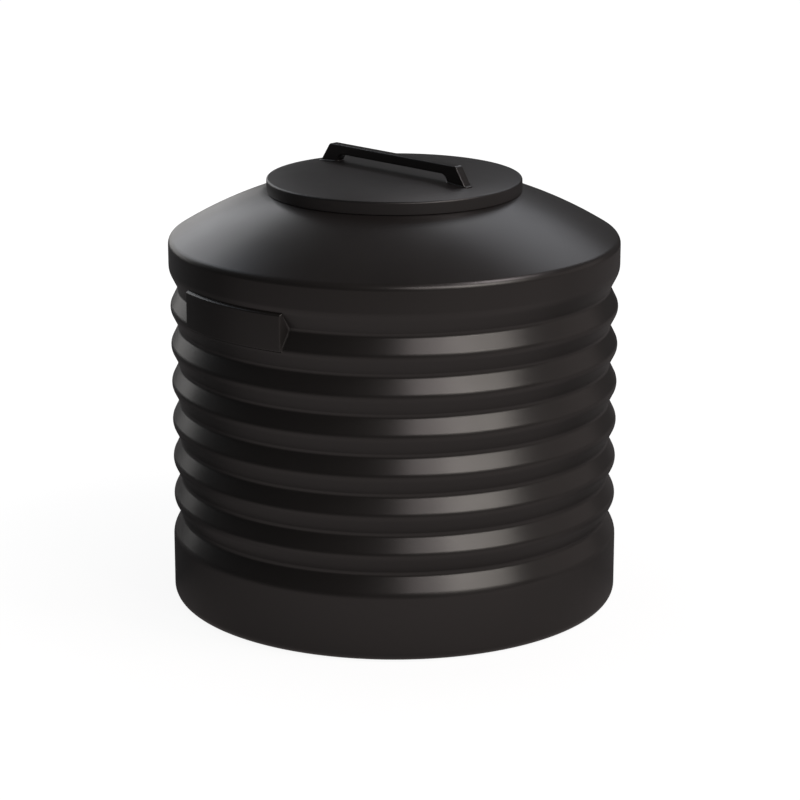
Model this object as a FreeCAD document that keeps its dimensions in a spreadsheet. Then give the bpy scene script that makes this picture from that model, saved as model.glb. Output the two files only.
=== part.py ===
"""Corrugated round water tank with a domed roof and a lift-off lid, as a parametric document.

The tank is a rotationally moulded polyethylene vessel: a flat floor, a plain base band, six rounded
corrugations, a plain shoulder band, a spherical roof and a short neck round the manhole. A crowned
lid with a skirt sits on the neck, and a bar handle sits on the lid. A bare name pad bridges the top
corrugation at the front, and a boss with a threaded brass insert is the water outlet at the back.

Millimetres, +Z up, origin on the tank's axis at the underside of the floor, front towards -Y.
"""

import FreeCAD, Part
import math
import os

import Sketcher

doc = FreeCAD.newDocument("water_tank")

# Driving dimensions

SIZES = {
    # shell
    "outer_radius": 439.8,
    "wall_thick": 6.0,
    "foot_round": 19.4,
    "base_height": 129.4,
    "band_round": 36.0,
    "rib_pitch": 76.0,
    "rib_depth": 19.0,
    "crest_round": 20.0,
    "valley_round": 12.0,
    "shoulder_height": 57.5,
    "shoulder_round": 17.0,
    "dome_radius": 814.0,
    # manhole neck
    "neck_clearance": 5.0,
    "neck_thick": 6.0,
    "neck_height": 20.0,
    # lid
    "lid_radius": 248.0,
    "lid_thick": 5.0,
    "lid_crown": 12.0,
    "crown_flat": 120.0,
    "lid_gap": 5.2,
    "lid_round": 2.5,
    "seat_width": 12.0,
    # handle
    "handle_top_length": 345.0,
    "handle_splay": 34.6,
    "handle_width": 19.5,
    "handle_rise": 33.0,
    "bar_depth": 18.7,
    "grip_span": 303.0,
    "grip_round": 18.0,
    "handle_corner_round": 8.0,
    # name pad
    "pad_width": 261.0,
    "pad_height": 68.0,
    "pad_proud": 2.8,
    "pad_draft": 30.0,
    "pad_end_draft": 13.0,
    # outlet
    "outlet_height": 66.0,
    "boss_radius": 38.0,
    "boss_proud": 8.0,
    "boss_draft": 20.0,
    "insert_radius": 22.0,
    "insert_length": 32.0,
    "insert_clearance": 0.2,
    "thread_radius": 15.15,
    "mouth_chamfer": 1.5,
}

RIBS = 6
SIDES = ["front", "front_right", "right", "back_right", "back", "back_left", "left", "front_left"]
SIDE_ANGLE = 360.0 / len(SIDES)
FRONT_ANGLE = -90.0

sheet = doc.addObject("Spreadsheet::Sheet", "sizes")
for row, (alias, value) in enumerate(SIZES.items(), start=1):
    sheet.set("A%d" % row, alias)
    sheet.set("B%d" % row, str(value))
    sheet.setAlias("B%d" % row, alias)
doc.recompute()


# Expressions that follow from the driving dimensions


def size(alias):
    """The expression that reads one driving dimension."""
    return "sizes." + alias


def value(expression):
    """The number that an expression gives now."""
    return float(sheet.evalExpression(expression))


RADIUS = size("outer_radius")
WALL = size("wall_thick")
FLANK_SLOPE = "(sizes.rib_depth / (sizes.rib_pitch / 2))"
FLANK_STRETCH = "sqrt(1 + %s ^ 2)" % FLANK_SLOPE
# tangent of half the flank's angle, by which a corner beside a plain band moves under an offset
HALF_SLOPE = "((%s - 1) / %s)" % (FLANK_STRETCH, FLANK_SLOPE)
VALLEY_RADIUS = "(sizes.outer_radius - sizes.rib_depth)"

BASE_TOP = size("base_height")
SHOULDER_LOW = "(sizes.base_height + %d * sizes.rib_pitch)" % (RIBS + 1)
SHOULDER_TOP = "(%s + sizes.shoulder_height)" % SHOULDER_LOW
BAND_TANGENT = "(sizes.band_round * %s)" % HALF_SLOPE
BASE_SPLIT = "(%s - %s)" % (BASE_TOP, BAND_TANGENT)
ROOF_SPLIT = "(%s - sizes.shoulder_round)" % SHOULDER_TOP

DOME_CENTRE = "(%s - sqrt(sizes.dome_radius ^ 2 - sizes.outer_radius ^ 2))" % SHOULDER_TOP
LAND = "(%s + sqrt(sizes.dome_radius ^ 2 - sizes.lid_radius ^ 2))" % DOME_CENTRE
SKIRT_INNER = "(sizes.lid_radius - sizes.lid_thick)"
NECK_OUTER = "(%s - sizes.neck_clearance)" % SKIRT_INNER
NECK_INNER = "(%s - sizes.neck_thick)" % NECK_OUTER
SEAT = "(%s + sizes.neck_height)" % LAND
RIM = "(%s + sizes.lid_thick)" % SEAT
SKIRT_LOW = "(%s + sizes.lid_gap)" % LAND
LID_TOP = "(%s + sizes.lid_crown)" % RIM
CROWN_MARGIN = "(sizes.lid_radius - sizes.crown_flat)"
CROWN_RADIUS = "((%s ^ 2 + sizes.lid_crown ^ 2) / (2 * sizes.lid_crown))" % CROWN_MARGIN
CROWN_CENTRE = "(%s - %s)" % (LID_TOP, CROWN_RADIUS)
HANDLE_TOP = "(%s + sizes.handle_rise)" % LID_TOP

PAD_RADIUS = "(sizes.outer_radius + sizes.pad_proud)"
PAD_LOW = "(%s - sizes.rib_pitch)" % SHOULDER_LOW
PAD_TOP = "(%s + sizes.pad_height)" % PAD_LOW
PAD_REACH = "sqrt(%s ^ 2 - (sizes.pad_width / 2) ^ 2)" % PAD_RADIUS
OUTLET_FACE = "(sizes.outer_radius + sizes.boss_proud)"


def valley_height(k):
    """Height of valley k, counted from 0 at the bottom."""
    return "(sizes.base_height + %s * sizes.rib_pitch)" % (k + 0.5)


def crest_height(k):
    """Height of crest k, counted from 1 at the bottom."""
    return "(sizes.base_height + %d * sizes.rib_pitch)" % k


# Drawing helpers


def origin_plane(body, role):
    """One of a body's own origin planes."""
    return next(f for f in body.Origin.OriginFeatures if f.Role == role)


def arc_between(start, end, radius, side):
    """The arc from start to end that bulges to one side of the way, and its end marks in that order."""
    chord = end - start
    bulge = FreeCAD.Vector(-chord.y, chord.x, 0).normalize() * (1 if side == "left" else -1)
    reach = math.sqrt(radius ** 2 - (chord.Length / 2) ** 2)
    circle = Part.Circle((start + end) * 0.5 - bulge * reach, FreeCAD.Vector(0, 0, 1), radius)
    first, last = (end, start) if side == "left" else (start, end)
    arc = Part.ArcOfCircle(circle, circle.parameter(first), circle.parameter(last))
    return arc, (2, 1) if side == "left" else (1, 2)


def outline(body, name, plane, corners):
    """A closed sketch through corners (x, y).

    A corner (x, y, radius, side) has an arc to the next corner, bulging to that side of the way."""
    sketch = body.newObject("Sketcher::SketchObject", name)
    sketch.AttachmentSupport = [(origin_plane(body, plane), "")]
    sketch.MapMode = "FlatFace"
    points = [FreeCAD.Vector(value(c[0]), value(c[1]), 0) for c in corners]
    starts, ends = [], []
    for i, corner in enumerate(corners):
        here, there = points[i], points[(i + 1) % len(points)]
        if len(corner) == 2:
            edge, marks = sketch.addGeometry(Part.LineSegment(here, there)), (1, 2)
        else:
            radius, side = corner[2:]
            arc, marks = arc_between(here, there, value(radius), side)
            edge = sketch.addGeometry(arc)
            bound = sketch.addConstraint(Sketcher.Constraint("Radius", edge, value(radius)))
            sketch.setExpression("Constraints[%d]" % bound, radius)
        starts.append((edge, marks[0]))
        ends.append((edge, marks[1]))
    for i, corner in enumerate(corners):
        sketch.addConstraint(Sketcher.Constraint("Coincident", *ends[i - 1], *starts[i]))
        for kind, expression, place in zip(("DistanceX", "DistanceY"), corner, points[i]):
            bound = sketch.addConstraint(Sketcher.Constraint(kind, -1, 1, *starts[i], place))
            sketch.setExpression("Constraints[%d]" % bound, expression)
    return sketch


def turned(name, corners, roundings=()):
    """A solid of revolution about Z from corners (radius, height), with circular edges rounded.

    Each rounding is (radius expression, [(edge radius, edge height), ...])."""
    body = doc.addObject("PartDesign::Body", name)
    sketch = outline(body, name + "_outline", "XZ_Plane", corners)
    feature = body.newObject("PartDesign::Revolution", name + "_turn")
    feature.Profile = sketch
    feature.ReferenceAxis = (sketch, ["V_Axis"])
    feature.Angle = 360
    for k, (radius, places) in enumerate(roundings):
        doc.recompute()
        fillet = body.newObject("PartDesign::Fillet", "%s_round_%d" % (name, k))
        fillet.Base = (feature, circles_at(feature.Shape, places))
        fillet.setExpression("Radius", radius)
        feature = fillet
    body.Tip = feature
    return body


def circles_at(shape, places, near=0.01):
    """Names of the circular edges at the given (radius, height) places."""
    wanted = [(value(r), value(z)) for r, z in places]
    names = []
    for k, edge in enumerate(shape.Edges, start=1):
        if edge.Degenerated or not isinstance(edge.Curve, Part.Circle):
            continue
        here = (edge.Curve.Radius, edge.Curve.Center.z)
        if any(math.dist(here, place) < near for place in wanted):
            names.append("Edge%d" % k)
    if len(names) < len(wanted):
        raise RuntimeError("an edge to be rounded is missing")
    return names


def boolean(kind, name, base, tool):
    """A Part boolean of two objects."""
    result = doc.addObject("Part::" + kind, name)
    result.Base = base
    result.Tool = tool
    return result


def primitive(kind, name, **bound):
    """A Part primitive with its sizes bound to expressions."""
    solid = doc.addObject("Part::" + kind, name)
    for prop, expression in bound.items():
        solid.setExpression(prop.replace("__", "."), expression)
    return solid


nodes = {}


def keep(label, solid):
    """Marks an object as a sub-part under its label."""
    solid.Label = label
    nodes[label] = solid


# Corrugated shell: the outer form less the cavity, one wall thickness inside it


def shell_form(name, inset):
    """The solid inside a corrugated profile, inset from the outer face by an expression."""
    band = "(%s - %s)" % (RADIUS, inset)
    crest = "(%s - %s * %s)" % (RADIUS, inset, FLANK_STRETCH)
    valley = "(%s - %s * %s)" % (VALLEY_RADIUS, inset, FLANK_STRETCH)
    base_corner = (band, "(%s - %s * %s)" % (BASE_TOP, inset, HALF_SLOPE))
    shoulder_corner = (band, "(%s + %s * %s)" % (SHOULDER_LOW, inset, HALF_SLOPE))
    foot = (band, inset)
    valleys = [(valley, valley_height(k)) for k in range(RIBS + 1)]
    crests = [(crest, crest_height(k + 1)) for k in range(RIBS)]
    zigzag = [valleys[0]]
    for pair in zip(crests, valleys[1:]):
        zigzag += pair
    above = [shoulder_corner, (band, ROOF_SPLIT), ("0", ROOF_SPLIT)]
    corners = [("0", inset), foot, base_corner, *zigzag, *above]
    outward = "max(%s - %s; 1)"
    roundings = [
        (outward % (size("foot_round"), inset), [foot]),
        (outward % (size("band_round"), inset), [base_corner, shoulder_corner]),
        (outward % (size("crest_round"), inset), crests),
        ("(%s + %s)" % (size("valley_round"), inset), valleys),
    ]
    return turned(name, corners, roundings)


outer_form = shell_form("outer_form", "0")
cavity = shell_form("cavity", WALL)
shell = boolean("Cut", "shell", outer_form, cavity)

FLOOR_RADIUS = "(sizes.outer_radius - sizes.foot_round)"
floor_disc = primitive("Cylinder", "floor_disc", Radius=FLOOR_RADIUS, Height=WALL)
keep("tank_floor", floor_disc)
shell_sides = boolean("Cut", "shell_sides", shell, floor_disc)


# Roof: a spherical cap from the shoulder to the edge of the lid

INNER_DOME = "(sizes.dome_radius - sizes.wall_thick)"
LAND_UNDER = "(%s - sizes.wall_thick)" % LAND
LAND_EDGE = "sqrt(%s ^ 2 - (%s - %s) ^ 2)" % (INNER_DOME, LAND_UNDER, DOME_CENTRE)


def roof_corners():
    """Closed half-section of the roof, from the shoulder band to the land under the lid."""
    inner_band = "(sizes.outer_radius - sizes.wall_thick)"
    inner_shoulder = "(%s + sqrt(%s ^ 2 - %s ^ 2))" % (DOME_CENTRE, INNER_DOME, inner_band)
    shoulder = (RADIUS, SHOULDER_TOP)
    inside = (inner_band, inner_shoulder)
    corners = [
        (RADIUS, ROOF_SPLIT),
        (*shoulder, size("dome_radius"), "right"),
        (size("lid_radius"), LAND),
        (LAND_EDGE, LAND_UNDER, INNER_DOME, "left"),
        inside,
        (inner_band, ROOF_SPLIT),
    ]
    return corners, shoulder, inside


roof_section, shoulder_edge, shoulder_inside = roof_corners()
roof = turned("roof", roof_section, [
    (size("shoulder_round"), [shoulder_edge]),
    ("max(sizes.shoulder_round - sizes.wall_thick; 1)", [shoulder_inside]),
])

# Manhole neck: a short upright ring on the flat land that closes the roof under the lid
keep("manhole_neck", turned("neck", [
    (NECK_INNER, LAND_UNDER),
    (LAND_EDGE, LAND_UNDER),
    (size("lid_radius"), LAND),
    (NECK_OUTER, LAND),
    (NECK_OUTER, SEAT),
    (NECK_INNER, SEAT),
]))


# The shell and roof in eighths, named by the side they face

COURSES = {
    "base": (shell_sides, "0", BASE_SPLIT),
    "wall": (shell_sides, BASE_SPLIT, ROOF_SPLIT),
    "roof": (roof, ROOF_SPLIT, SEAT),
}


def eighth(course, side, place):
    """One side's share of a course of the shell."""
    whole, low, high = COURSES[course]
    name = "%s_%s" % (course, side)
    reach, height = "2 * sizes.outer_radius", "%s - %s" % (high, low)
    wedge = primitive("Cylinder", name + "_wedge", Radius=reach, Height=height, Placement__Base__z=low)
    wedge.Angle = SIDE_ANGLE
    turn = FRONT_ANGLE + (place - 0.5) * SIDE_ANGLE
    wedge.Placement.Rotation = FreeCAD.Rotation(FreeCAD.Vector(0, 0, 1), turn)
    return boolean("Common", name, whole, wedge)


pieces = {}
for course in COURSES:
    for k, side in enumerate(SIDES):
        pieces[course, side] = eighth(course, side, k)


# Outlet at the back: a flat-faced boss on the base band with a brass insert through the wall


def across(name, kind, inner_face, **bound):
    """A round solid whose axis runs out through the back of the tank at outlet height."""
    bound.update(Placement__Base__y=inner_face, Placement__Base__z=size("outlet_height"))
    solid = primitive(kind, name, **bound)
    solid.Placement.Rotation = FreeCAD.Rotation(FreeCAD.Vector(1, 0, 0), -90)
    return solid


INSERT_END = "(%s - sizes.insert_length)" % OUTLET_FACE
BOSS_DEPTH = "(2 * sizes.boss_proud + sizes.wall_thick)"
BOSS_ROOT = "(sizes.boss_radius + %s * tan(sizes.boss_draft))" % BOSS_DEPTH
boss_block = across(
    "boss_block", "Cone", "%s - %s" % (OUTLET_FACE, BOSS_DEPTH),
    Height=BOSS_DEPTH, Radius1=BOSS_ROOT, Radius2=size("boss_radius"),
)
insert_way = across(
    "insert_way", "Cylinder", INSERT_END,
    Height="sizes.insert_length + 1", Radius="sizes.insert_radius + sizes.insert_clearance",
)
boss_seated = boolean("Cut", "boss_seated", boss_block, outer_form)
keep("outlet_boss", boolean("Cut", "boss", boss_seated, insert_way))
pieces["base", "back"] = boolean("Cut", "base_back_bored", pieces["base", "back"], insert_way)

MOUTH = "(sizes.thread_radius + sizes.mouth_chamfer)"
insert = turned("insert", [
    (size("thread_radius"), "0"),
    (size("insert_radius"), "0"),
    (size("insert_radius"), size("insert_length")),
    (MOUTH, size("insert_length")),
    (size("thread_radius"), "sizes.insert_length - sizes.mouth_chamfer"),
])
insert.setExpression("Placement.Base.y", INSERT_END)
insert.setExpression("Placement.Base.z", size("outlet_height"))
insert.Placement.Rotation = FreeCAD.Rotation(FreeCAD.Vector(1, 0, 0), -90)
keep("outlet_insert", insert)

for (course, side), piece in pieces.items():
    keep("%s_%s" % (course, side), piece)


# Name pad: a bare curved panel with drafted edges, seated on the top corrugation at the front


def pad_turn():
    """A ring segment with the pad's drafted top and bottom, wider than the pad."""
    depth = "(sizes.pad_proud + sizes.rib_depth)"
    spread = "(%s * tan(sizes.pad_draft))" % depth
    body = doc.addObject("PartDesign::Body", "pad_ring")
    sketch = outline(body, "pad_section", "XZ_Plane", [
        (VALLEY_RADIUS, "%s - %s" % (PAD_LOW, spread)),
        (PAD_RADIUS, PAD_LOW),
        (PAD_RADIUS, PAD_TOP),
        (VALLEY_RADIUS, "%s + %s" % (PAD_TOP, spread)),
    ])
    turn = body.newObject("PartDesign::Revolution", "pad_ring_turn")
    turn.Profile = sketch
    turn.ReferenceAxis = (sketch, ["V_Axis"])
    turn.Midplane = True
    turn.setExpression("Angle", "2 * asin(sizes.pad_width / %s)" % PAD_RADIUS)
    body.Tip = turn
    body.Placement.Rotation = FreeCAD.Rotation(FreeCAD.Vector(0, 0, 1), FRONT_ANGLE)
    return body


def pad_plan():
    """A prism whose drafted sides are the pad's two ends, widening from its face towards the axis."""
    root = "(sizes.pad_width / 2 + %s * tan(sizes.pad_end_draft))" % PAD_REACH
    front = "(%s + sizes.rib_depth)" % PAD_RADIUS
    tip = "(%s - %s * tan(sizes.pad_end_draft))" % (root, front)
    body = doc.addObject("PartDesign::Body", "pad_prism")
    corners = [("-" + root, "0"), ("-" + tip, "-" + front), (tip, "-" + front), (root, "0")]
    sketch = outline(body, "pad_plan", "XY_Plane", corners)
    prism = body.newObject("PartDesign::Pad", "pad_prism_up")
    prism.Profile = sketch
    prism.setExpression("Length", SHOULDER_TOP)
    body.Tip = prism
    return body


pad_block = boolean("Common", "pad_block", pad_turn(), pad_plan())
keep("name_pad", boolean("Cut", "pad", pad_block, outer_form))


# Lid: a crowned plate that rests on the neck, and the skirt that hangs from it round the neck

lid_rim = (size("lid_radius"), RIM)
lid_form = turned("lid_form", [
    ("0", SEAT),
    (size("lid_radius"), SEAT),
    (*lid_rim, CROWN_RADIUS, "right"),
    (size("crown_flat"), LID_TOP),
    ("0", LID_TOP),
], [(size("lid_round"), [lid_rim])])

SEAT_INNER = "(%s - sizes.seat_width)" % NECK_OUTER
UNDER_RADIUS = "(%s - sizes.lid_thick)" % CROWN_RADIUS
SEAT_MARGIN = "(%s - sizes.crown_flat)" % SEAT_INNER
SEAT_STEP = "(%s + sqrt(%s ^ 2 - %s ^ 2))" % (CROWN_CENTRE, UNDER_RADIUS, SEAT_MARGIN)
UNDER_TOP = "(%s - sizes.lid_thick)" % LID_TOP
lid_hollow = turned("lid_hollow", [
    ("0", SEAT),
    (SEAT_INNER, SEAT),
    (SEAT_INNER, SEAT_STEP, UNDER_RADIUS, "right"),
    (size("crown_flat"), UNDER_TOP),
    ("0", UNDER_TOP),
])
keep("lid_top", boolean("Cut", "lid_plate", lid_form, lid_hollow))
keep("lid_skirt", turned("skirt", [
    (SKIRT_INNER, SKIRT_LOW),
    (size("lid_radius"), SKIRT_LOW),
    (size("lid_radius"), SEAT),
    (SKIRT_INNER, SEAT),
]))


# Handle: a bar on two splayed legs whose feet follow the lid's crown


def handle_block():
    """The handle before its feet are shaped to the lid."""
    inner, top = "(sizes.grip_span / 2)", "(sizes.handle_top_length / 2)"
    foot = "(%s + (%s - %s) * tan(sizes.handle_splay))" % (top, HANDLE_TOP, SEAT)
    under = "(%s - sizes.bar_depth)" % HANDLE_TOP
    body = doc.addObject("PartDesign::Body", "handle_block")
    sketch = outline(body, "handle_outline", "XZ_Plane", [
        ("-" + foot, SEAT),
        ("-" + inner, SEAT),
        ("-" + inner, under),
        (inner, under),
        (inner, SEAT),
        (foot, SEAT),
        (top, HANDLE_TOP),
        ("-" + top, HANDLE_TOP),
    ])
    feature = body.newObject("PartDesign::Pad", "handle_pad")
    feature.Profile = sketch
    feature.setExpression("Length", size("handle_width"))
    feature.Midplane = True
    corners = [(inner, under, "grip_round"), (top, HANDLE_TOP, "handle_corner_round")]
    for k, (x, z, radius) in enumerate(corners):
        doc.recompute()
        fillet = body.newObject("PartDesign::Fillet", "handle_round_%d" % k)
        fillet.Base = (feature, cross_edges(feature.Shape, value(x), value(z)))
        fillet.setExpression("Radius", size(radius))
        feature = fillet
    body.Tip = feature
    return body


def cross_edges(shape, x, z, near=0.01):
    """Names of the two edges that run across the handle at plus and minus x."""
    names = []
    for k, edge in enumerate(shape.Edges, start=1):
        middle = edge.CenterOfMass
        if edge.BoundBox.XLength < near and math.dist((abs(middle.x), middle.z), (x, z)) < near:
            names.append("Edge%d" % k)
    return names


keep("lid_handle", boolean("Cut", "handle", handle_block(), lid_form))


# Check every object, then write one file for each sub-part

doc.recompute()
for item in doc.Objects:
    if {"Invalid", "Error"} & set(item.State):
        raise RuntimeError("%s failed: %s" % (item.Label, item.State))
os.makedirs("parts", exist_ok=True)
for label, solid in nodes.items():
    shape = solid.Shape
    if shape.isNull() or not shape.isValid() or not shape.Solids:
        raise RuntimeError("%s has no valid solid" % label)
    shape.exportStep("parts/%s.step" % label)
print("%d sub-parts, %.1f mm tall" % (len(nodes), value(HANDLE_TOP)))
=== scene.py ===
from math import asin, atan2, cos, pi, radians, sin, sqrt, tan

import bmesh
import bpy
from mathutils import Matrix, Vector


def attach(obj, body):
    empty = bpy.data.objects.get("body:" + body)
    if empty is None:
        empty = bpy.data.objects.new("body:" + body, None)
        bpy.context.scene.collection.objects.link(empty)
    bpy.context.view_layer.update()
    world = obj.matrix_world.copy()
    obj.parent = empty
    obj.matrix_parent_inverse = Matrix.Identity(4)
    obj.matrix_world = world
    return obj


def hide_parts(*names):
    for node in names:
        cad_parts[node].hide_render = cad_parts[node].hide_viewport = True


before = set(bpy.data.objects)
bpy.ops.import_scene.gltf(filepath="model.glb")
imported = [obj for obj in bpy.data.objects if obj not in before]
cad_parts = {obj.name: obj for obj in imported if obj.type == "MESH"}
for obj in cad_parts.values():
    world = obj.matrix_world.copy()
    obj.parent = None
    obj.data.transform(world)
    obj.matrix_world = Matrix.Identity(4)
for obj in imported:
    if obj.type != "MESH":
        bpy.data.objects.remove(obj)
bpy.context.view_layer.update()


# The studio: a long lens looks down on the tank's corner between its front and its right side.
# Soft boxes stand in front on the right, and behind on both sides, in an otherwise dim room.
# The floor and the room are white to the camera alone, so the black plastic keeps its depth.
scene = bpy.context.scene
scene.view_settings.view_transform = "Standard"

FRAME_PIXELS = 800
FOCAL_PIXELS = 2792.8
SHIFT_PIXELS = 5.65
SENSOR_WIDTH = 36.0
VIEW_TURN = radians(45.4)
VIEW_DOWN = radians(15.64)
CAMERA_AWAY = 5.3217
CAMERA_HEIGHT = 1.8755

camera_data = bpy.data.cameras.new("camera")
camera_data.sensor_width = SENSOR_WIDTH
camera_data.lens = SENSOR_WIDTH * FOCAL_PIXELS / FRAME_PIXELS
camera_data.shift_x = SHIFT_PIXELS / FRAME_PIXELS
camera = bpy.data.objects.new("camera", camera_data)
camera.location = (CAMERA_AWAY * sin(VIEW_TURN), -CAMERA_AWAY * cos(VIEW_TURN), CAMERA_HEIGHT)
camera.rotation_euler = (pi / 2 - VIEW_DOWN, 0, VIEW_TURN)
scene.collection.objects.link(camera)
scene.camera = camera

LAMP_AWAY = 6.0
LAMP_AIM = Vector((0, 0, 0.45))


def soft_box(name, turn, rise, wide, tall, watts, colour):
    """A rectangular lamp aimed at the tank, turned to the right of the camera and raised by degrees."""
    lamp = bpy.data.lights.new(name, "AREA")
    lamp.shape = "RECTANGLE"
    lamp.size = wide
    lamp.size_y = tall
    lamp.energy = watts
    lamp.color = colour
    stand = bpy.data.objects.new(name, lamp)
    bearing = VIEW_TURN + radians(turn)
    reach = cos(radians(rise))
    outward = Vector((reach * sin(bearing), -reach * cos(bearing), sin(radians(rise))))
    stand.location = LAMP_AIM + LAMP_AWAY * outward
    stand.rotation_euler = (-outward).to_track_quat("-Z", "Y").to_euler()
    scene.collection.objects.link(stand)


soft_box("front_low_box", turn=46, rise=27.5, wide=3.3, tall=1.5, watts=106, colour=(1.0, 0.93, 0.86))
soft_box("front_high_box", turn=23, rise=35, wide=2.8, tall=1.6, watts=66, colour=(1.0, 0.90, 0.88))
soft_box("side_box", turn=68, rise=52, wide=2.0, tall=1.7, watts=100, colour=(1.0, 0.89, 0.90))
soft_box("right_low_box", turn=100, rise=12, wide=5.0, tall=2.4, watts=11, colour=(1.0, 0.86, 0.82))
soft_box("back_right_box", turn=150, rise=42, wide=3.3, tall=2.9, watts=39, colour=(0.92, 0.94, 1.0))
soft_box("back_box", turn=172, rise=43, wide=1.0, tall=1.0, watts=7.5, colour=(1.0, 0.96, 0.97))
soft_box("back_left_box", turn=-143, rise=27, wide=4.4, tall=2.8, watts=66, colour=(0.96, 0.97, 1.0))
soft_box("back_left_low_box", turn=-147, rise=6, wide=5.2, tall=1.4, watts=23, colour=(1.0, 0.98, 0.96))
soft_box("left_high_box", turn=-122, rise=42, wide=3.0, tall=2.0, watts=11, colour=(0.75, 0.85, 1.0))

ROOM_LEVEL = 0.06
WHITE = (1, 1, 1, 1)


def ramp(wires, source, start, end, low=0.0, high=1.0):
    """A level that goes evenly from start to end while its source goes from low to high."""
    level = wires.nodes.new("ShaderNodeMapRange")
    level.inputs["From Min"].default_value = low
    level.inputs["From Max"].default_value = high
    level.inputs["To Min"].default_value = start
    level.inputs["To Max"].default_value = end
    wires.links.new(source, level.inputs["Value"])
    return level.outputs["Result"]


room = bpy.data.worlds.new("room")
room.use_nodes = True
scene.world = room
wires = room.node_tree
air = wires.nodes["Background"]
air.inputs["Color"].default_value = WHITE
seen = wires.nodes.new("ShaderNodeLightPath")
room_level = ramp(wires, seen.outputs["Is Camera Ray"], ROOM_LEVEL, 1.0)
wires.links.new(room_level, air.inputs["Strength"])

FLOOR_WIDTH = 24
FLOOR_DROP = 0.0005
FLOOR_GREY = (0.12, 0.12, 0.12, 1)
WARM_GLOW = (1.0, 0.88, 0.86, 1)

bpy.ops.object.select_all(action="DESELECT")
bpy.ops.mesh.primitive_plane_add(size=FLOOR_WIDTH, location=(0, 0, -FLOOR_DROP))
floor = bpy.context.object
floor.name = "floor"
floor_paint = bpy.data.materials.new("floor_paint")
floor_paint.use_nodes = True
wires = floor_paint.node_tree
paint = wires.nodes["Principled BSDF"]
paint.inputs["Base Color"].default_value = FLOOR_GREY
paint.inputs["Roughness"].default_value = 0.9
paint.inputs["Specular IOR Level"].default_value = 0.0
seen = wires.nodes.new("ShaderNodeLightPath")
where = wires.nodes.new("ShaderNodeTexCoord")
length = wires.nodes.new("ShaderNodeVectorMath")
length.operation = "LENGTH"
wires.links.new(where.outputs["Object"], length.inputs[0])
away = length.outputs["Value"]


def distance_towards(turn):
    """How far out a place on the floor lies, in a direction to the right of the camera by degrees."""
    bearing = VIEW_TURN + radians(turn)
    along = wires.nodes.new("ShaderNodeVectorMath")
    along.operation = "DOT_PRODUCT"
    along.inputs[1].default_value = (sin(bearing), -cos(bearing), 0)
    wires.links.new(where.outputs["Object"], along.inputs[0])
    return along.outputs["Value"]


def combined(operation, first, second):
    """Two floor levels added or multiplied."""
    both = wires.nodes.new("ShaderNodeMath")
    both.operation = operation
    wires.links.new(first, both.inputs[0])
    wires.links.new(second, both.inputs[1])
    return both.outputs["Value"]


def between(wires, share, first, second):
    """A colour that goes from the first to the second as a share goes from nought to one."""
    blend = wires.nodes.new("ShaderNodeMix")
    blend.data_type = "RGBA"
    # Inputs 6 and 7 and output 2 are the sockets that this node has for colours.
    blend.inputs[6].default_value = first
    blend.inputs[7].default_value = second
    wires.links.new(share, blend.inputs[0])
    return blend.outputs[2]


# In reflections the floor has a warm glow, strong just in front of the tank and weak further out.
near_glow = combined(
    "MULTIPLY",
    ramp(wires, distance_towards(0), 0.014, 0.44, low=-0.03, high=0.7),
    ramp(wires, away, 1.0, 0.2, low=1.0, high=3.2),
)
far_glow = combined(
    "MULTIPLY",
    ramp(wires, distance_towards(30), 0.0, 0.15, low=-2.4, high=0.9),
    ramp(wires, away, 0.0, 1.0, low=0.8, high=2.2),
)
mirrored = combined("MULTIPLY", seen.outputs["Is Glossy Ray"], combined("ADD", near_glow, far_glow))
# To the camera the floor glows white further out and grows a little dimmer from a metre and a half in
# towards the tank. This is a faint painted shade round its foot, so that the lamps' shadow there still
# shows.
camera_white_and_painted_shade = combined(
    "MULTIPLY", seen.outputs["Is Camera Ray"], ramp(wires, away, 0.92, 1.0, low=0.5, high=1.6)
)
wires.links.new(combined("ADD", camera_white_and_painted_shade, mirrored), paint.inputs["Emission Strength"])
glow_colour = between(wires, seen.outputs["Is Camera Ray"], WARM_GLOW, WHITE)
wires.links.new(glow_colour, paint.inputs["Emission Color"])
floor.data.materials.append(floor_paint)


# The tank: one rotationally moulded vessel of black polyethylene, with floor, base band, six
# corrugations, shoulder band, domed roof and manhole neck in a single skin six millimetres thick.
# Its outline is drawn once from the floor's centre to the neck, rounded at the bends, and turned.
SKIN = 0.006
OUTER = 0.4398
RIB_DEPTH = 0.019
VALLEY = OUTER - RIB_DEPTH
PITCH = 0.076
RIBS = 6
BASE_TOP = 0.1294
SHOULDER_LOW = BASE_TOP + (RIBS + 1) * PITCH
SHOULDER_BAND = 0.0575
SHOULDER_TOP = SHOULDER_LOW + SHOULDER_BAND
DOME = 0.814
DOME_CENTRE = SHOULDER_TOP - sqrt(DOME ** 2 - OUTER ** 2)
LID_RADIUS = 0.248
LAND = DOME_CENTRE + sqrt(DOME ** 2 - LID_RADIUS ** 2)
NECK_INSET = 0.010
NECK = LID_RADIUS - NECK_INSET
NECK_RISE = 0.020
SEAT = LAND + NECK_RISE
FLOOR_RING = 0.21
FOOT_ROUND = 0.0194
BAND_ROUND = 0.036
CREST_ROUND = 0.020
VALLEY_ROUND = 0.012
SHOULDER_ROUND = 0.017
NECK_ROUND = 0.002
ROUND_STEPS = 160
BEND_STEP = radians(6)
DOME_STEP = radians(1)


def start_outline(name, radius, height):
    """A new mesh of one selected point on the plane through the axis, left in edit mode."""
    bpy.ops.object.select_all(action="DESELECT")
    bpy.ops.mesh.primitive_plane_add(size=0.01)
    piece = bpy.context.object
    piece.name = name
    piece.data.name = name
    bpy.ops.object.mode_set(mode="EDIT")
    bpy.ops.mesh.select_mode(type="VERT")
    bpy.ops.mesh.merge(type="CENTER")
    bpy.ops.transform.translate(value=(radius, 0, height))
    return piece


def outline_end(piece):
    """The place of the selected end of an outline."""
    return next(point.co.copy() for point in bmesh.from_edit_mesh(piece.data).verts if point.select)


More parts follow.
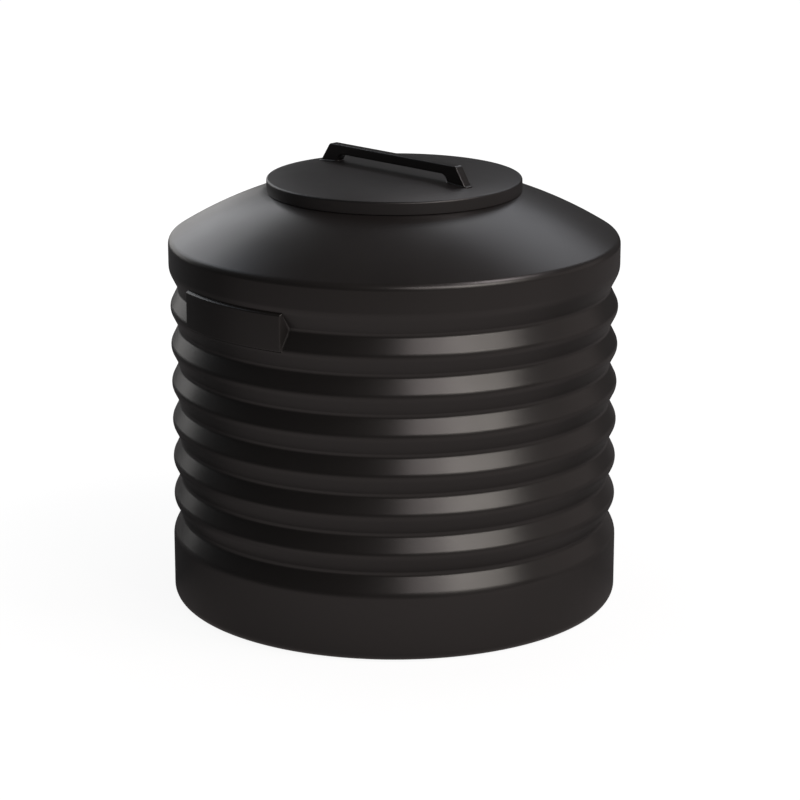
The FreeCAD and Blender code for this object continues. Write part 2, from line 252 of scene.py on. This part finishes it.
def draw_to(piece, *places):
    """Extrudes the selected end of an outline through the places (radius, height)."""
    for radius, height in places:
        move = Vector((radius, 0, height)) - outline_end(piece)
        bpy.ops.mesh.extrude_vertices_move(TRANSFORM_OT_translate={"value": move})


def swing(centre, angle, step=BEND_STEP):
    """Carries the selected end of an outline on along an arc about a centre (radius, height).

    A positive angle swings it to the left of the way it goes.
    """
    steps = max(3, round(abs(angle) / step))
    bpy.ops.mesh.spin(steps=steps, angle=angle, center=(centre[0], 0, centre[1]), axis=(0, 1, 0))


def draw_round(piece, rounding, *corners):
    """Draws an outline on towards each corner, rounds it there, and stops short of the last one."""
    for corner, following in zip(corners, corners[1:]):
        corner = Vector((corner[0], 0, corner[1]))
        following = Vector((following[0], 0, following[1]))
        inward = (corner - outline_end(piece)).normalized()
        onward = (following - corner).normalized()
        side = 1 if inward.x * onward.z - inward.z * onward.x > 0 else -1
        bend = inward.angle(onward)
        start = corner - inward * rounding * tan(bend / 2)
        centre = start + side * rounding * Vector((-inward.z, 0, inward.x))
        draw_to(piece, (start.x, start.z))
        swing((centre.x, centre.z), side * bend)


def round_into_dome(piece, radius, rounding, centre, dome, edge):
    """Ends an upright line with a rounding into a dome about a centre, which then runs in to its edge."""
    across = radius - rounding - centre[0]
    rise = sqrt((dome - rounding) ** 2 - across ** 2)
    lean = atan2(across, rise)
    draw_to(piece, (radius, centre[1] + rise))
    swing((radius - rounding, centre[1] + rise), pi / 2 - lean)
    swing(centre, lean - asin((edge - centre[0]) / dome), DOME_STEP)


def face_outwards():
    """Turns all faces of the mesh in edit mode outwards, and leaves them selected."""
    bpy.ops.mesh.select_all(action="SELECT")
    bpy.ops.mesh.normals_make_consistent(inside=False)


def merge_doubles(gap):
    """Merges the points of the mesh in edit mode that lie within a gap of each other."""
    bpy.ops.mesh.select_all(action="SELECT")
    bpy.ops.mesh.remove_doubles(threshold=gap)


def turn_outline(steps):
    """Turns a finished outline all the way round the tank's axis into a skin with outward faces."""
    bpy.ops.mesh.select_all(action="SELECT")
    bpy.ops.mesh.spin(steps=steps, angle=2 * pi, center=(0, 0, 0), axis=(0, 0, 1))
    merge_doubles(gap=1e-5)
    face_outwards()


def pick_piece(piece):
    """Selects one piece alone, for the operators that follow."""
    bpy.ops.object.select_all(action="DESELECT")
    piece.select_set(True)
    bpy.context.view_layer.objects.active = piece


def apply_modifier(piece, kind, **settings):
    """Adds a modifier, sets it and applies it."""
    modifier = piece.modifiers.new(kind.lower(), kind)
    for key, setting in settings.items():
        setattr(modifier, key, setting)
    pick_piece(piece)
    bpy.ops.object.modifier_apply(modifier=modifier.name)


def finish_shape(piece, sharp=35):
    """Leaves edit mode with smooth shading that keeps large faces flat.

    Edges that bend by more than the sharp angle, in degrees, stay sharp.
    """
    bpy.ops.object.mode_set(mode="OBJECT")
    pick_piece(piece)
    bpy.ops.object.shade_smooth_by_angle(angle=radians(sharp))
    apply_modifier(piece, "WEIGHTED_NORMAL", mode="FACE_AREA", weight=50, keep_sharp=True)


tank = start_outline("tank", 0, 0)
draw_to(tank, (FLOOR_RING, 0))
draw_round(tank, FOOT_ROUND, (OUTER, 0), (OUTER, BASE_TOP))
draw_round(tank, BAND_ROUND, (OUTER, BASE_TOP), (VALLEY, BASE_TOP + PITCH / 2))
for rib in range(RIBS):
    low = BASE_TOP + (rib + 0.5) * PITCH
    draw_round(tank, VALLEY_ROUND, (VALLEY, low), (OUTER, low + PITCH / 2))
    draw_round(tank, CREST_ROUND, (OUTER, low + PITCH / 2), (VALLEY, low + PITCH))
draw_round(tank, VALLEY_ROUND, (VALLEY, SHOULDER_LOW - PITCH / 2), (OUTER, SHOULDER_LOW))
draw_round(tank, BAND_ROUND, (OUTER, SHOULDER_LOW), (OUTER, SHOULDER_TOP))
round_into_dome(tank, OUTER, SHOULDER_ROUND, (0, DOME_CENTRE), DOME, LID_RADIUS)
draw_round(tank, NECK_ROUND, (NECK, LAND), (NECK, SEAT))
draw_to(tank, (NECK, SEAT))
turn_outline(ROUND_STEPS)
bpy.ops.object.mode_set(mode="OBJECT")
apply_modifier(tank, "SOLIDIFY", thickness=SKIN, offset=-1, use_even_offset=True)

OUTLET_HEIGHT = 0.066
INSERT_RADIUS = 0.022
BORE_CLEARANCE = 0.0002
BORE = INSERT_RADIUS + BORE_CLEARANCE
BORE_DEPTH = 0.04

bpy.ops.object.select_all(action="DESELECT")
bpy.ops.mesh.primitive_cylinder_add(
    vertices=64,
    radius=BORE,
    depth=BORE_DEPTH,
    location=(0, OUTER, OUTLET_HEIGHT),
    rotation=(pi / 2, 0, 0),
)
bore_cutter = bpy.context.object
apply_modifier(tank, "BOOLEAN", operation="DIFFERENCE", object=bore_cutter, solver="EXACT")
bpy.data.objects.remove(bore_cutter)
finish_shape(tank)

CLOUD_SCALE = 9.0
GLOSS_CHANGE = 0.02
TONE_CHANGE = 0.1
PEEL_SCALE = 260.0
PEEL_HEIGHT = 0.0004


def noise(wires, scale, detail):
    """A noise pattern that is fixed to the piece."""
    where = wires.nodes.new("ShaderNodeTexCoord")
    pattern = wires.nodes.new("ShaderNodeTexNoise")
    pattern.inputs["Scale"].default_value = scale
    pattern.inputs["Detail"].default_value = detail
    wires.links.new(where.outputs["Object"], pattern.inputs["Vector"])
    return pattern.outputs["Fac"]


def moulded_plastic(name, colour, roughness, grain):
    """Satin polyethylene, with a fine matt grain from the mould and slow changes in tone and gloss."""
    plastic = bpy.data.materials.new(name)
    plastic.use_nodes = True
    wires = plastic.node_tree
    skin = wires.nodes["Principled BSDF"]
    skin.inputs["IOR"].default_value = 1.5
    cloud = noise(wires, CLOUD_SCALE, detail=3.0)
    gloss = ramp(wires, cloud, roughness - GLOSS_CHANGE, roughness + GLOSS_CHANGE, low=0.3, high=0.7)
    wires.links.new(gloss, skin.inputs["Roughness"])
    darker = (*[(1 - TONE_CHANGE) * c for c in colour], 1)
    lighter = (*[(1 + TONE_CHANGE) * c for c in colour], 1)
    wires.links.new(between(wires, cloud, darker, lighter), skin.inputs["Base Color"])
    relief = wires.nodes.new("ShaderNodeBump")
    relief.inputs["Strength"].default_value = grain
    relief.inputs["Distance"].default_value = PEEL_HEIGHT
    wires.links.new(noise(wires, PEEL_SCALE, detail=2.0), relief.inputs["Height"])
    wires.links.new(relief.outputs["Normal"], skin.inputs["Normal"])
    return plastic


tank_plastic = moulded_plastic("tank_plastic", (0.0150, 0.0135, 0.0130), roughness=0.32, grain=0.06)
tank.data.materials.append(tank_plastic)
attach(tank, "tank")
SIDES = ["front", "front_right", "right", "back_right", "back", "back_left", "left", "front_left"]
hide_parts("tank_floor", "manhole_neck", *[c + s for c in ("base_", "wall_", "roof_") for s in SIDES])


# The name pad: a bare curved panel of the tank's own plastic, moulded across the top corrugation in front.
# Its back runs inside the wall's skin, and its edges are drafted and rounded.
# Each end runs into the wall with a fillet.
PAD_RISE = 0.0028
PAD_FACE = OUTER + PAD_RISE
PAD_HEIGHT = 0.068
PAD_LOW = SHOULDER_LOW - PITCH
PAD_TOP = PAD_LOW + PAD_HEIGHT
PAD_WIDTH = 0.261
PAD_HALF = PAD_WIDTH / 2
PAD_REACH = sqrt(PAD_FACE ** 2 - PAD_HALF ** 2)
PAD_DEPTH = 0.0088
PAD_BACK = PAD_FACE - PAD_DEPTH
PAD_DRAFT = PAD_DEPTH * tan(radians(30))
KEEL_SINK = 0.0019
PAD_KEEL = VALLEY - KEEL_SINK
PAD_SWEEP = radians(72)
END_DRAFT = radians(5)
PAD_ROUND = 0.002


def fill_outline():
    """Fills the outline in edit mode with one face, and leaves all of it selected."""
    bpy.ops.mesh.select_all(action="SELECT")
    bpy.ops.mesh.edge_face_add()


def edge_bend(edge):
    """The angle by which the surface bends at an edge."""
    return edge.calc_face_angle(0)


def edge_middle(edge):
    """The place halfway along an edge."""
    return (edge.verts[0].co + edge.verts[1].co) / 2


def pick_edges(piece, chosen):
    """Selects the edges of the mesh in edit mode that pass a test."""
    bpy.ops.mesh.select_mode(type="EDGE")
    bpy.ops.mesh.select_all(action="DESELECT")
    mesh = bmesh.from_edit_mesh(piece.data)
    for edge in mesh.edges:
        if chosen(edge):
            edge.select_set(True)
    bmesh.update_edit_mesh(piece.data)


def round_edges(piece, chosen, rounding, segments=4):
    """Rounds the edges of the mesh in edit mode that pass a test."""
    pick_edges(piece, chosen)
    bpy.ops.mesh.bevel(affect="EDGES", offset=rounding, segments=segments, profile=0.5)


def join_to(piece, part):
    """Joins a finished part to a piece."""
    pick_piece(piece)
    part.select_set(True)
    bpy.ops.object.join()


pad = start_outline("name_pad", PAD_BACK, PAD_LOW - PAD_DRAFT)
draw_to(pad, (PAD_FACE, PAD_LOW), (PAD_FACE, PAD_TOP))
draw_to(pad, (PAD_BACK, PAD_TOP + PAD_DRAFT), (PAD_KEEL, PAD_LOW + PITCH / 2))
fill_outline()
bpy.ops.transform.rotate(value=pi / 2 - PAD_SWEEP / 2, orient_axis="Z", center_override=(0, 0, 0))
bpy.ops.mesh.spin(steps=36, angle=PAD_SWEEP, center=(0, 0, 0), axis=(0, 0, 1))
face_outwards()
for side in (1, -1):
    bpy.ops.mesh.select_all(action="SELECT")
    bpy.ops.mesh.bisect(
        plane_co=(side * PAD_HALF, -PAD_REACH, 0),
        plane_no=(side * cos(END_DRAFT), -sin(END_DRAFT), 0),
        use_fill=True,
        clear_outer=True,
    )
rounded_beyond = OUTER - 0.004
round_edges(
    pad,
    lambda edge: edge_bend(edge) > radians(30) and edge_middle(edge).xy.length > rounded_beyond,
    PAD_ROUND,
)
finish_shape(pad)

ROOT_REACH = 0.003
ROOT_SINK = 0.0015
ROOT_FADE = 0.1
ROOT_OVER = 0.004

# The wall's outline behind the pad is drawn once more, to read the places that the fillets follow.
wall_line = start_outline("wall_line", (OUTER + VALLEY) / 2, PAD_LOW - PITCH / 4)
draw_round(wall_line, CREST_ROUND, (OUTER, PAD_LOW), (VALLEY, PAD_LOW + PITCH / 2))
draw_round(wall_line, VALLEY_ROUND, (VALLEY, PAD_LOW + PITCH / 2), (OUTER, SHOULDER_LOW))
draw_round(wall_line, BAND_ROUND, (OUTER, SHOULDER_LOW), (OUTER, SHOULDER_TOP))
wall_places = sorted((point.co.z, point.co.x) for point in bmesh.from_edit_mesh(wall_line.data).verts)
bpy.ops.object.mode_set(mode="OBJECT")
bpy.data.objects.remove(wall_line)


def pad_root(height, radius):
    """The place where the pad's right end meets the wall, which has a radius at a height."""
    along = PAD_REACH * cos(END_DRAFT) - PAD_HALF * sin(END_DRAFT)
    depth = along - sqrt(along ** 2 - PAD_FACE ** 2 + radius ** 2)
    return Vector((PAD_HALF + depth * sin(END_DRAFT), depth * cos(END_DRAFT) - PAD_REACH, height))


def scale_section(share, centre):
    """Scales the selected section about a centre, level with the floor."""
    bpy.ops.transform.resize(value=(share, share, 1), center_override=centre)


def mirror_to_left():
    """Adds a mirrored copy of the mesh in edit mode on the tank's left, and turns all faces outwards."""
    bpy.ops.mesh.select_all(action="SELECT")
    bpy.ops.mesh.duplicate()
    bpy.ops.transform.resize(value=(-1, 1, 1), center_override=(0, 0, 0))
    face_outwards()


# A fillet's section is an arc between the pad's end and the wall, with a corner sunk behind them.
# It is carried up along the wall, fades out at both ends, and is mirrored to the pad's left end.
root_low = PAD_LOW - ROOT_OVER
root_top = PAD_TOP + ROOT_OVER
root_places = [pad_root(*place) for place in wall_places if root_low < place[0] < root_top]
up_end = Vector((-sin(END_DRAFT), -cos(END_DRAFT)))
on_wall = Vector((PAD_REACH, PAD_HALF)).normalized()
root_bend = pi - up_end.angle(on_wall)
root_start = ROOT_REACH * up_end
root_centre = root_start + ROOT_REACH / tan(root_bend / 2) * Vector((cos(END_DRAFT), -sin(END_DRAFT)))
roots = start_outline("roots", *(-ROOT_SINK * (up_end + on_wall).normalized()))
draw_to(roots, root_start)
swing(root_centre, -root_bend)
fill_outline()
bpy.ops.transform.rotate(value=pi / 2, orient_axis="X", center_override=(0, 0, 0))
bpy.ops.transform.translate(value=root_places[0])
scale_section(ROOT_FADE, root_places[0])
for here, following in zip(root_places, root_places[1:]):
    bpy.ops.mesh.extrude_region_move(TRANSFORM_OT_translate={"value": following - here})
    if here == root_places[0]:
        scale_section(1 / ROOT_FADE, following)
scale_section(ROOT_FADE, root_places[-1])
mirror_to_left()
finish_shape(roots)
join_to(pad, roots)
pad.data.materials.append(tank_plastic)
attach(pad, "tank")
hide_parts("name_pad")


# The outlet boss: a flat-faced round pad of the tank's own plastic, moulded on the base band at the back.
# It is bored for the insert, its sides are drafted so that it leaves the mould, and its root sits inside
# the wall's skin.
BOSS_RISE = 0.008
OUTLET_FACE = OUTER + BOSS_RISE
BOSS_RADIUS = 0.038
BOSS_DEPTH = 0.0132
BOSS_DRAFT = BOSS_DEPTH * tan(radians(20))
BOSS_ROUND = 0.002


def turn_to_outlet(depth):
    """Lays the mesh in edit mode along the outlet's axis, so that its depth ends at the boss's face."""
    bpy.ops.mesh.select_all(action="SELECT")
    bpy.ops.transform.rotate(value=pi / 2, orient_axis="X", center_override=(0, 0, 0))
    bpy.ops.transform.translate(value=(0, OUTLET_FACE - depth, OUTLET_HEIGHT))


boss = start_outline("outlet_boss", BORE, 0)
draw_to(boss, (BOSS_RADIUS + BOSS_DRAFT, 0))
draw_round(boss, BOSS_ROUND, (BOSS_RADIUS, BOSS_DEPTH), (INSERT_RADIUS, BOSS_DEPTH))
draw_to(boss, (BORE, BOSS_DEPTH), (BORE, 0))
turn_outline(steps=96)
turn_to_outlet(BOSS_DEPTH)
finish_shape(boss)
boss.data.materials.append(tank_plastic)
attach(boss, "tank")
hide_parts("outlet_boss")


# The outlet insert: a turned brass bush moulded into the boss, threaded inside for a one inch fitting.
# Its bore is turned to the thread's root, and the thread is a ridge wound along it.
INSERT_LENGTH = 0.032
INSERT_ROUND = 0.0006
MOUTH_WIDTH = 0.0008
MOUTH_DEPTH = 0.0015
THREAD_ROOT = 0.0167
THREAD_TIP = 0.01515
THREAD_PITCH = 0.002309
THREAD_TURNS = 12
THREAD_START = 0.0016
RIDGE_SINK = 0.0003
RIDGE_FOOT = THREAD_ROOT + RIDGE_SINK
RIDGE_WIDTH = 0.0022
RIDGE_FLANK = 0.0009

thread = start_outline("thread", RIDGE_FOOT, THREAD_START)
draw_to(thread, (THREAD_TIP, THREAD_START + RIDGE_FLANK))
draw_to(thread, (THREAD_TIP, THREAD_START + RIDGE_WIDTH - RIDGE_FLANK))
draw_to(thread, (RIDGE_FOOT, THREAD_START + RIDGE_WIDTH), (RIDGE_FOOT, THREAD_START))
merge_doubles(gap=1e-6)
bpy.ops.object.mode_set(mode="OBJECT")
apply_modifier(
    thread, "SCREW", screw_offset=THREAD_PITCH, iterations=THREAD_TURNS, steps=40, render_steps=40
)
bpy.ops.object.mode_set(mode="EDIT")
merge_doubles(gap=1e-6)
bpy.ops.mesh.select_all(action="SELECT")
bpy.ops.mesh.fill_holes(sides=0)
face_outwards()
finish_shape(thread, sharp=40)

insert = start_outline("outlet_insert", THREAD_ROOT, 0)
draw_round(
    insert, INSERT_ROUND, (INSERT_RADIUS, 0), (INSERT_RADIUS, INSERT_LENGTH), (THREAD_ROOT, INSERT_LENGTH)
)
draw_to(insert, (THREAD_ROOT + MOUTH_WIDTH, INSERT_LENGTH), (THREAD_ROOT, INSERT_LENGTH - MOUTH_DEPTH))
draw_to(insert, (THREAD_ROOT, 0))
turn_outline(steps=80)
finish_shape(insert, sharp=30)
join_to(insert, thread)
bpy.ops.object.mode_set(mode="EDIT")
turn_to_outlet(INSERT_LENGTH)
bpy.ops.object.mode_set(mode="OBJECT")

BROWN_BRASS = (0.46, 0.30, 0.12, 1)
CLEAN_BRASS = (0.72, 0.53, 0.25, 1)
TARNISH_SCALE = 90.0

# The brass is dull, with slow brown changes in tone and gloss.
brass = bpy.data.materials.new("brass")
brass.use_nodes = True
wires = brass.node_tree
metal = wires.nodes["Principled BSDF"]
metal.inputs["Metallic"].default_value = 1.0
tarnish = noise(wires, TARNISH_SCALE, detail=4.0)
tone = wires.nodes.new("ShaderNodeValToRGB")
tone.color_ramp.elements[0].position = 0.35
tone.color_ramp.elements[0].color = BROWN_BRASS
tone.color_ramp.elements[1].position = 0.65
tone.color_ramp.elements[1].color = CLEAN_BRASS
wires.links.new(tarnish, tone.inputs["Fac"])
wires.links.new(tone.outputs["Color"], metal.inputs["Base Color"])
wires.links.new(ramp(wires, tarnish, 0.45, 0.25), metal.inputs["Roughness"])
insert.data.materials.append(brass)
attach(insert, "tank")
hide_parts("outlet_insert")


# The lid: a crowned cap of the same black plastic, flat in the middle, that rests on the neck.
# Its skirt hangs round the neck to just above the roof, and its rim has a small even rounding.
LID_THICK = 0.005
SKIRT_INNER = LID_RADIUS - LID_THICK
SKIRT_GAP = 0.0010
SKIRT_LOW = LAND + SKIRT_GAP
SKIRT_ROUND = 0.0006
RIM = SEAT + LID_THICK
RIM_ROUND = 0.004
CROWN_RISE = 0.012
LID_TOP = RIM + CROWN_RISE
CROWN_FLAT = 0.120
CROWN = ((LID_RADIUS - CROWN_FLAT) ** 2 + CROWN_RISE ** 2) / (2 * CROWN_RISE)
CROWN_CENTRE = LID_TOP - CROWN
SEAT_WIDTH = 0.012
SEAT_INNER = NECK - SEAT_WIDTH

lid = start_outline("lid", 0, LID_TOP - LID_THICK)
draw_to(lid, (CROWN_FLAT, LID_TOP - LID_THICK))
swing((CROWN_FLAT, CROWN_CENTRE), -asin((SEAT_INNER - CROWN_FLAT) / (CROWN - LID_THICK)), DOME_STEP)
draw_to(lid, (SEAT_INNER, SEAT), (SKIRT_INNER, SEAT), (SKIRT_INNER, SKIRT_LOW))
draw_round(lid, SKIRT_ROUND, (LID_RADIUS, SKIRT_LOW), (LID_RADIUS, RIM))
round_into_dome(lid, LID_RADIUS, RIM_ROUND, (CROWN_FLAT, CROWN_CENTRE), CROWN, CROWN_FLAT)
draw_to(lid, (0, LID_TOP))
turn_outline(ROUND_STEPS)
finish_shape(lid)
lid_plastic = moulded_plastic("lid_plastic", (0.0112, 0.0102, 0.0101), roughness=0.39, grain=0.06)
lid.data.materials.append(lid_plastic)
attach(lid, "lid")
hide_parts("lid_top", "lid_skirt")


# The handle: a moulded bar of black plastic on two legs that splay outwards, with rounded corners.
# A thin flange round each foot follows the lid's crown, and a bolt from below holds each leg.
HANDLE_RISE = 0.033
HANDLE_TOP = LID_TOP + HANDLE_RISE
HANDLE_WIDTH = 0.0195
BAR_DEPTH = 0.0187
BAR_UNDER = HANDLE_TOP - BAR_DEPTH
GRIP_LENGTH = 0.303
GRIP_HALF = GRIP_LENGTH / 2
TOP_LENGTH = 0.345
TOP_HALF = TOP_LENGTH / 2
SPLAY = radians(34.6)
SPREAD = 0.024
FOOT_SINK = 0.0015
GRIP_ROUND = 0.018
TOP_ROUND = 0.008
HANDLE_ROUND = 0.0022


def crown_height(reach):
    """Height of the lid's top face at a distance from the axis."""
    return CROWN_CENTRE + sqrt(CROWN ** 2 - max(reach - CROWN_FLAT, 0) ** 2)


def widen_outline(width):
    """Fills a flat outline and draws it out to a solid of a width, evenly to both sides of it."""
    fill_outline()
    bpy.ops.transform.translate(value=(0, -width / 2, 0))
    bpy.ops.mesh.extrude_region_move(TRANSFORM_OT_translate={"value": (0, width, 0)})
    face_outwards()


foot_inner = crown_height(GRIP_HALF) - FOOT_SINK
foot_outer = crown_height(TOP_HALF + SPREAD) - FOOT_SINK
foot_half = TOP_HALF + (HANDLE_TOP - foot_outer) * tan(SPLAY)
handle = start_outline("lid_handle", -GRIP_HALF, foot_inner)
draw_round(handle, GRIP_ROUND, (-GRIP_HALF, BAR_UNDER), (GRIP_HALF, BAR_UNDER), (GRIP_HALF, foot_inner))
draw_to(handle, (GRIP_HALF, foot_inner), (foot_half, foot_outer))
draw_round(handle, TOP_ROUND, (TOP_HALF, HANDLE_TOP), (-TOP_HALF, HANDLE_TOP), (-foot_half, foot_outer))
draw_to(handle, (-foot_half, foot_outer))
widen_outline(HANDLE_WIDTH)
rounded_above = foot_outer + 0.004
round_edges(
    handle,
    lambda edge: edge_bend(edge) > radians(35) and edge_middle(edge).z > rounded_above,
    HANDLE_ROUND,
)
finish_shape(handle)

FLANGE_RISE = 0.0025
FLANGE_REACH = 0.003
FLANGE_OVER = 0.004
FLANGE_CORNER = 0.010
FLANGE_ROUND = 0.0018


def upright(edge):
    """Whether an edge stands upright."""
    along = edge.verts[1].co - edge.verts[0].co
    return abs(along.z) > 0.9 * along.length


flange_inner = GRIP_HALF - FLANGE_OVER
flange_outer = foot_half + FLANGE_OVER
inner_height = crown_height(flange_inner)
outer_height = crown_height(flange_outer)
flanges = start_outline("flanges", flange_inner, inner_height - FLANGE_RISE)
draw_to(flanges, (flange_outer, outer_height - FLANGE_RISE), (flange_outer, outer_height + FLANGE_RISE))
draw_to(flanges, (flange_inner, inner_height + FLANGE_RISE))
widen_outline(HANDLE_WIDTH + 2 * FLANGE_REACH)
round_edges(flanges, upright, FLANGE_CORNER, segments=8)
top_edge = outer_height + 0.0005
round_edges(
    flanges,
    lambda edge: edge_bend(edge) > radians(60) and edge_middle(edge).z > top_edge,
    FLANGE_ROUND,
)
mirror_to_left()
finish_shape(flanges)
join_to(handle, flanges)
handle_plastic = moulded_plastic("handle_plastic", (0.0125, 0.0117, 0.0117), roughness=0.30, grain=0.04)
handle.data.materials.append(handle_plastic)
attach(handle, "lid")
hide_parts("lid_handle")


# The handle's bolts: a brass hexagon bolt with its washer in each leg, put in from under the lid.
# One is modelled with its head downwards, chamfered at the corners, and each leg gets a copy of it
# that stands square to the lid's crown.
BOLT_REACH = 0.175
BOLT_SINK = 0.0005
WASHER = 0.0016
WASHER_RADIUS = 0.0085
WASHER_ROUND = 0.0004
HEAD = 0.0053
HEAD_RADIUS = 0.0075
HEAD_CHAMFER = 0.0011

bolt_model = start_outline("bolt_model", 0, BOLT_SINK)
draw_to(bolt_model, (WASHER_RADIUS, BOLT_SINK))
draw_round(bolt_model, WASHER_ROUND, (WASHER_RADIUS, -WASHER), (0, -WASHER))
draw_to(bolt_model, (0, -WASHER))
turn_outline(steps=40)
finish_shape(bolt_model)
bpy.ops.object.select_all(action="DESELECT")
bpy.ops.mesh.primitive_cylinder_add(
    vertices=6, radius=HEAD_RADIUS, depth=HEAD, location=(0, 0, -WASHER - HEAD / 2)
)
head = bpy.context.object
bpy.ops.object.transform_apply(location=True, rotation=False, scale=False)
bpy.ops.object.mode_set(mode="EDIT")
head_face = -WASHER - 0.9 * HEAD
pick_edges(head, lambda edge: edge_bend(edge) > radians(35) and edge_middle(edge).z < head_face)
bpy.ops.mesh.bevel(affect="VERTICES", offset=HEAD_CHAMFER, segments=1)
finish_shape(head, sharp=25)
join_to(bolt_model, head)
bolt_model.data.materials.append(brass)

tilt = asin((BOLT_REACH - CROWN_FLAT) / (CROWN - LID_THICK))
bolt_seat = CROWN_CENTRE + (CROWN - LID_THICK) * cos(tilt)
for side, name in ((1, "bolt_right"), (-1, "bolt_left")):
    pick_piece(bolt_model)
    bpy.ops.object.duplicate()
    bolt = bpy.context.object
    bolt.name = name
    bolt.data.name = name
    bpy.ops.object.mode_set(mode="EDIT")
    bpy.ops.mesh.select_all(action="SELECT")
    bpy.ops.transform.rotate(value=-side * tilt, orient_axis="Y", center_override=(0, 0, 0))
    bpy.ops.transform.translate(value=(side * BOLT_REACH, 0, bolt_seat))
    bpy.ops.object.mode_set(mode="OBJECT")
    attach(bolt, "lid")
bpy.data.objects.remove(bolt_model)
